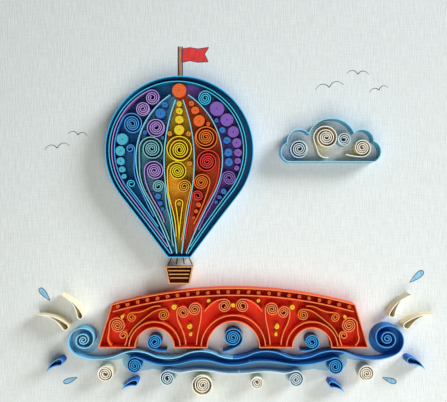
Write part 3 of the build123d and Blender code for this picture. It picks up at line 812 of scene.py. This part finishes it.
class QUILLING_OT_pennant(bpy.types.Operator):
    """Draws a small pennant and its pole over the balloon in coloured pencil and ink"""

    bl_idname = "quilling.pennant"
    bl_label = "Pennant"

    def execute(self, context):
        marks = context.scene.quilled_marks
        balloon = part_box("envelope_outline")
        middle = (balloon[0].x + balloon[1].x) / 2
        foot = balloon[1].y + marks.pole_gap
        top = foot + marks.pole
        pole = draw_mark(marks, upright(middle, foot, top), marks.pole_width, marks.taper)
        finish = mark_finish(marks, "pole_pencil", marks.wood, marks.line_streaks)
        settle(pole, "pole_mark", finish)
        # The waving pennant from its upper corner at the pole, as shares of its length
        shape = ((0.0, -0.03), (0.3, 0.02), (0.6, -0.03), (1.0, 0.03), (0.84, -0.22), (0.98, -0.5),
                 (0.6, -0.52), (0.3, -0.46), (0.0, -0.53))
        right, high = middle + marks.pennant_side, top - marks.pennant_drop
        size = marks.pennant
        outline = [(right + across * size, high + up * size) for across, up in shape]
        finish = mark_finish(marks, "red_pencil", marks.flag, marks.patch_streaks)
        settle(fill_outline(marks, outline), "pennant_fill", finish)
        lines = [draw_mark(marks, outline + outline[:1], marks.line, marks.taper, WITH_CORNERS)]
        for side in (middle - marks.pole_width / 2, middle + marks.pole_width / 2):
            lines.append(draw_mark(marks, upright(side, foot, top), marks.pole_line, marks.taper))
        finish = mark_finish(marks, "pennant_ink", marks.ink, marks.ink_streaks)
        settle(joined(lines), "pennant_outline", finish)
        return {"FINISHED"}


class QUILLING_OT_birds(bpy.types.Operator):
    """Draws small far birds on the sky in ink"""

    bl_idname = "quilling.birds"
    bl_label = "Birds"

    def execute(self, context):
        marks = context.scene.quilled_marks
        # Each bird's place and its wing's length in millimetres, then its turn in degrees
        flock = ((66, 72, 9, 8), (84, 80, 7, -6), (97, 70, 6, 12),
                 (-104, 34, 8, 6), (-91, 42, 6, -10))
        # Both wings from tip to tip, as shares of one wing's length
        shape = ((-1.0, -0.16), (-0.75, 0.12), (-0.42, 0.2), (-0.12, 0.06), (0.0, -0.16),
                 (0.14, 0.1), (0.48, 0.26), (0.8, 0.16), (1.0, -0.06))
        lines = []
        for x, y, wing, turn in flock:
            points = turned(shape, x, y, wing, turn)
            lines.append(draw_mark(marks, points, marks.line, marks.bird_taper))
        finish = mark_finish(marks, "bird_ink", marks.ink, marks.ink_streaks)
        settle(joined(lines), "bird_marks", finish)
        return {"FINISHED"}


class QUILLING_OT_drops(bpy.types.Operator):
    """Draws small drops of spray beside the water in blue pencil and ink"""

    bl_idname = "quilling.drops"
    bl_label = "Drawn Drops"

    def execute(self, context):
        marks = context.scene.quilled_marks
        # Each drop's place and half length in millimetres, then its turn in degrees
        spray = ((-112, -58, 5.5, 130), (-96, -112, 5, 200),
                 (121, -47, 6, 40), (104, -112, 5, -20))
        # The drop from its tip round its belly and back, as shares of its half length
        shape = ((-1.0, 0.0), (-0.4, 0.2), (0.3, 0.32), (0.8, 0.2),
                 (0.8, -0.2), (0.3, -0.32), (-0.4, -0.2))
        patches, lines = [], []
        for x, y, size, turn in spray:
            points = turned(shape, x, y, size, turn)
            patches.append(fill_outline(marks, points))
            closed = points + points[:1]
            lines.append(draw_mark(marks, closed, marks.drop_line, marks.drop_taper))
        finish = mark_finish(marks, "blue_pencil", marks.drop, marks.patch_streaks)
        settle(joined(patches), "drop_fills", finish)
        finish = mark_finish(marks, "drop_ink", marks.ink, marks.ink_streaks)
        settle(joined(lines), "drop_outlines", finish)
        return {"FINISHED"}


def add_light(name, stand, size, power, tint):
    """A square soft light that faces the picture from its turn, rise and distance."""
    turn, rise, distance = stand
    level = math.cos(rise) * distance
    place = (level * math.cos(turn), level * math.sin(turn), math.sin(rise) * distance)
    bpy.ops.object.light_add(
        type="AREA", location=place, rotation=(math.pi / 2 - rise, 0.0, turn + math.pi / 2)
    )
    light = bpy.context.object
    light.name = name
    light.data.shape = "SQUARE"
    light.data.size = size
    light.data.energy = power
    light.data.color = tint


def studio_sky(studio):
    """Soft light from all round, which the camera sees as a pale backdrop."""
    sky = Finish(bpy.data.worlds.new("studio_sky"), "OutputWorld")
    inputs = {"Color": with_alpha(studio.sky_tint), "Strength": studio.sky_strength}
    light = sky.add("Background", None, inputs)
    inputs = {"Color": with_alpha(studio.floor), "Strength": studio.backdrop}
    backdrop = sky.add("Background", None, inputs)
    return sky.seen_as(1.0, light, backdrop)


class QUILLING_OT_studio(bpy.types.Operator):
    """Sets the floor, the soft light and the camera that looks down on the picture"""

    bl_idname = "quilling.studio"
    bl_label = "Studio"

    def execute(self, context):
        studio = context.scene.quilled_studio
        bpy.ops.object.select_all(action="DESELECT")
        bpy.ops.mesh.primitive_plane_add(
            size=studio.floor_size, location=(0.0, 0.0, -studio.floor_drop)
        )
        floor = context.object
        bpy.ops.object.transform_apply(location=True, rotation=True, scale=True)
        floor.name = "studio_floor"
        floor.data.materials.append(floor_finish(studio))
        add_light(
            "main_light",
            (studio.main_turn, studio.main_rise, studio.main_distance),
            studio.main_size,
            studio.main_power,
            studio.main_tint,
        )
        add_light(
            "fill_light",
            (studio.fill_turn, studio.fill_rise, studio.fill_distance),
            studio.fill_size,
            studio.fill_power,
            studio.fill_tint,
        )
        context.scene.world = studio_sky(studio)
        height = board_top() + studio.camera_height
        bpy.ops.object.camera_add(location=(0.0, 0.0, height), rotation=(0.0, 0.0, 0.0))
        camera = context.object
        camera.name = "studio_camera"
        camera.data.lens = studio.lens
        camera.data.clip_start = 10 * MM
        context.scene.camera = camera
        context.scene.view_settings.view_transform = "Standard"
        return {"FINISHED"}


class QUILLING_PT_panel(bpy.types.Panel):
    """Lists the picture's operators and settings"""

    bl_label = "Quilled Picture"
    bl_idname = "QUILLING_PT_panel"
    bl_space_type = "VIEW_3D"
    bl_region_type = "UI"
    bl_category = "Quilling"

    def draw(self, context):
        for operator in operators:
            self.layout.operator(operator.bl_idname)
        for name, group in setting_groups.items():
            box = self.layout.box()
            box.label(text=group.__doc__)
            for key in group.__annotations__:
                box.prop(getattr(context.scene, name), key)


operators = (
    QUILLING_OT_board,
    QUILLING_OT_sheets,
    QUILLING_OT_strips,
    QUILLING_OT_coils,
    QUILLING_OT_ropes,
    QUILLING_OT_pennant,
    QUILLING_OT_birds,
    QUILLING_OT_drops,
    QUILLING_OT_studio,
)
setting_groups = {
    "quilled_walls": WallColours,
    "quilled_edges": PaintedHighlightColours,
    "quilled_tops": CoilHighlightColours,
    "quilled_sheets": SheetColours,
    "quilled_paper": PaperSettings,
    "quilled_board": BoardSettings,
    "quilled_coils": CoilSettings,
    "quilled_marks": MarkSettings,
    "quilled_studio": StudioSettings,
}


def register():
    """Registers the settings, the operators and the panel."""
    for name, group in setting_groups.items():
        bpy.utils.register_class(group)
        setattr(bpy.types.Scene, name, bpy.props.PointerProperty(type=group))
    for item in (*operators, QUILLING_PT_panel):
        bpy.utils.register_class(item)


def unregister():
    """Takes back all that register adds."""
    for item in (QUILLING_PT_panel, *reversed(operators)):
        bpy.utils.unregister_class(item)
    for name, group in setting_groups.items():
        delattr(bpy.types.Scene, name)
        bpy.utils.unregister_class(group)


def main():
    """Makes the whole picture."""
    register()
    bpy.ops.quilling.board()
    bpy.ops.quilling.sheets()
    bpy.ops.quilling.strips()
    bpy.ops.quilling.coils()
    bpy.ops.quilling.ropes()
    bpy.ops.quilling.pennant()
    bpy.ops.quilling.birds()
    bpy.ops.quilling.drops()
    bpy.ops.quilling.studio()


if __name__ == "__main__":
    main()
